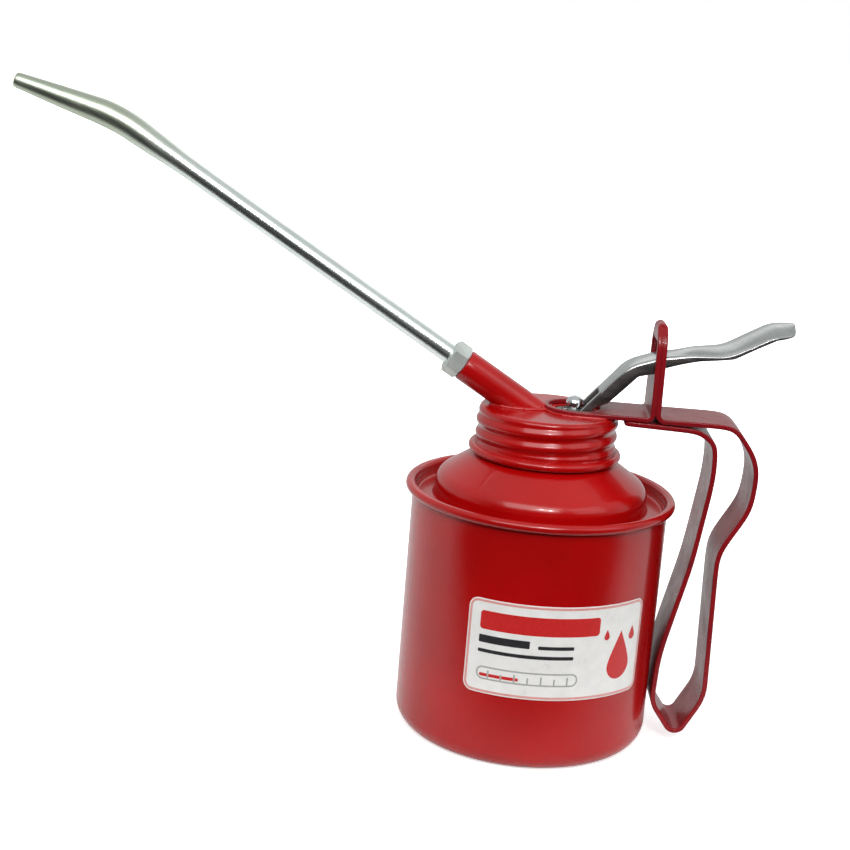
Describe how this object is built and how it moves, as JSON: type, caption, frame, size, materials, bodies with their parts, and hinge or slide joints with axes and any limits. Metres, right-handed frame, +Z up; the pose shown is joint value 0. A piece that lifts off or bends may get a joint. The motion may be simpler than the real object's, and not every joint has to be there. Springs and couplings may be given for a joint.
{
  "type": "oil can",
  "caption": "Workshop oil can: round reservoir with rolled rim, threaded cap carrying a strip handle, thumb-lever lift pump and a long bent spout.",
  "frame": {"origin": "centre of the round base, on the surface it stands on", "axes": "+Z up along the can's axis, +X towards the handle and thumb lever, the spout rises towards -X, Y across the handle"},
  "size_m": [0.2405, 0.0844, 0.1939],
  "materials": {
    "red_enamel": "gloss stoving enamel over tinplate",
    "label_paper": "glossy printed paper",
    "cork": "matt oil-proof gasket",
    "packing": "greased cotton cord",
    "zinc_plate": "bright zinc plate",
    "tube_plate": "bright plate over drawn tube",
    "lever_plate": "nickel plate, rubbed satin on top",
    "bare_steel": "ground bright steel",
    "brass": "turned brass",
    "cup_leather": "oiled cup leather"
  },
  "bodies": {
    "can": {"reservoir": "red_enamel", "shoulder": "red_enamel", "label": "label_paper"},
    "gasket": {"cap_gasket": "cork"},
    "head": {"screw_cap": "red_enamel", "handle_strip": "red_enamel", "spout_socket": "red_enamel", "spout_nut": "zinc_plate", "pump_head": "zinc_plate", "gland_packing": "packing", "gland_nut": "zinc_plate", "delivery_pipe": "zinc_plate", "pump_barrel": "zinc_plate", "foot_valve": "brass", "ball_retainer": "brass", "strainer": "brass"},
    "plunger": {"plunger_rod": "bare_steel", "piston": "brass", "piston_cup": "cup_leather", "piston_nut": "brass", "return_spring": "bare_steel"},
    "lever": {"thumb_lever": "lever_plate"},
    "spout": {"spout_tube": "tube_plate", "spout_ferrule": "brass"},
    "inlet_ball": {"inlet_ball": "bare_steel"},
    "transfer_ball": {"transfer_ball": "bare_steel"}
  },
  "joints": [
    {"name": "cap_rise", "type": "slide", "parent": "can", "child": "gasket", "axis": [0, 0, 1], "range_m": [0, 0.0105]},
    {"name": "cap_turn", "type": "hinge", "parent": "gasket", "child": "head", "pos_m": [0, 0, 0.09], "axis": [0, 0, 1], "range_deg": [0, 900]},
    {"name": "lever", "type": "hinge", "parent": "head", "child": "lever", "pos_m": [0.0321, 0, 0.119], "axis": [0, 1, 0], "range_deg": [0, 24], "stiffness_Nm_per_rad": 0.208, "springref_deg": -20.11},
    {"name": "plunger_lift", "type": "slide", "parent": "head", "child": "plunger", "axis": [0, 0, 1], "range_m": [0, 0.0096], "deforming": ["return_spring"]},
    {"name": "spout_swivel", "type": "hinge", "parent": "head", "child": "spout", "pos_m": [-0.008, 0, 0.1046], "axis": [-0.8545, 0, 0.5195], "continuous": true},
    {"name": "inlet_ball_lift", "type": "slide", "parent": "head", "child": "inlet_ball", "axis": [0, 0, 1], "range_m": [0, 0.002]},
    {"name": "transfer_ball_lift", "type": "slide", "parent": "plunger", "child": "transfer_ball", "axis": [0, 0, 1], "range_m": [0, 0.0012]}
  ],
  "couplings": [
    {"joint": "cap_rise", "follows": "cap_turn", "m_per_rad": 0.00066845},
    {"joint": "plunger_lift", "follows": "lever", "m_per_rad": 0.02281}
  ]
}
